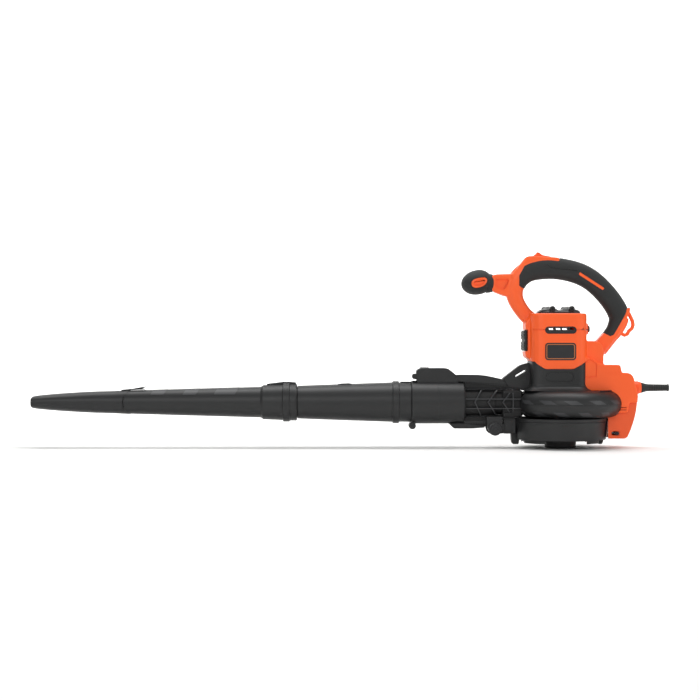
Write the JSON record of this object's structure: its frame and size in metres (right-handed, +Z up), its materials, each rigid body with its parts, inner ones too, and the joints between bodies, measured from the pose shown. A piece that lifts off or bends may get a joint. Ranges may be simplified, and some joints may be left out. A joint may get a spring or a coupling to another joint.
{
  "type": "leaf blower",
  "caption": "Corded leaf blower with a D handle and front knob, fan housing, hinged intake guard, long pull-off blow tubes and flat nozzle.",
  "frame": {"origin": "motor axis at the flat bottom of the intake guard's hub foot", "axes": "+Z up along the motor axis, blow tubes run to -X, Y=0 is the housing's split plane"},
  "size_m": [1.209, 0.206, 0.3707],
  "materials": {
    "orange_plastic": "satin moulded orange",
    "black_plastic": "fine textured black",
    "soft_grip": "matt soft-touch",
    "steel": "plain",
    "copper": "enamelled wire",
    "carbon": "graphite"
  },
  "bodies": {
    "chassis": {"housing_left": "orange_plastic", "housing_right": "orange_plastic", "grip_left": "soft_grip", "grip_right": "soft_grip", "lower_rear_cover": "orange_plastic", "cord_hook": "orange_plastic", "front_knob": "soft_grip", "knob_inlay_left": "orange_plastic", "knob_inlay_right": "orange_plastic", "switch_module": "black_plastic", "top_vent_pad": "black_plastic", "side_vent_left": "black_plastic", "side_vent_right": "black_plastic", "badge_plate_left": "black_plastic", "badge_plate_right": "black_plastic", "front_bumper_pad": "soft_grip", "rear_vent_insert": "black_plastic", "motor_base": "black_plastic", "strap_bracket": "black_plastic", "fan_housing_upper": "black_plastic", "fan_housing_lower": "black_plastic", "outlet_duct": "black_plastic", "tube_socket": "black_plastic", "latch_housing": "black_plastic", "release_spring": "steel", "neck_cover": "black_plastic", "hinge_pin": "black_plastic", "hinge_cap": "black_plastic", "field_core": "steel", "field_coil_front": "copper", "field_coil_rear": "copper", "lower_bearing": "steel", "upper_bearing": "steel", "lower_plate": "black_plastic", "upper_bracket": "black_plastic", "brush_holder_left": "steel", "brush_holder_right": "steel", "carbon_brush_left": "carbon", "carbon_brush_right": "carbon", "cord_gland": "orange_plastic", "strain_relief_boot": "soft_grip", "cord_clamp": "black_plastic", "capacitor": "black_plastic", "housing_screw_1": "steel", "housing_screw_2": "steel", "housing_screw_3": "steel", "housing_screw_4": "steel", "housing_screw_5": "steel"},
    "rotor": {"rotor_shaft": "steel", "armature": "copper", "commutator": "copper", "impeller": "black_plastic", "impeller_nut": "steel"},
    "power_slider": {"power_slider": "orange_plastic"},
    "release_button": {"release_button": "black_plastic"},
    "blow_tubes": {"rear_tube": "black_plastic", "front_tube": "black_plastic"},
    "nozzle": {"nozzle": "black_plastic"},
    "intake_guard": {"intake_guard": "black_plastic"},
    "guard_latch": {"guard_latch": "black_plastic"}
  },
  "joints": [
    {"name": "rotor_spin", "type": "hinge", "parent": "chassis", "child": "rotor", "pos_m": [0, 0, 0.1], "axis": [0, 0, 1], "continuous": true},
    {"name": "power_slide", "type": "slide", "parent": "chassis", "child": "power_slider", "axis": [-1, 0, 0], "range_m": [0, 0.006]},
    {"name": "release_press", "type": "slide", "parent": "chassis", "child": "release_button", "axis": [0, 0, -1], "range_m": [0, 0.003], "stiffness_N_per_m": 400, "deforming": ["release_spring"]},
    {"name": "tube_pull", "type": "slide", "parent": "chassis", "child": "blow_tubes", "axis": [-1, 0, 0], "range_m": [0, 0.055]},
    {"name": "nozzle_pull", "type": "slide", "parent": "blow_tubes", "child": "nozzle", "axis": [-1, 0, 0], "range_m": [0, 0.045]},
    {"name": "guard_swing", "type": "hinge", "parent": "chassis", "child": "intake_guard", "pos_m": [-0.1265, 0, 0.0361], "axis": [0, 1, 0], "range_deg": [0, 95]},
    {"name": "guard_latch_slide", "type": "slide", "parent": "chassis", "child": "guard_latch", "axis": [-1, 0, 0], "range_m": [0, 0.004]}
  ]
}
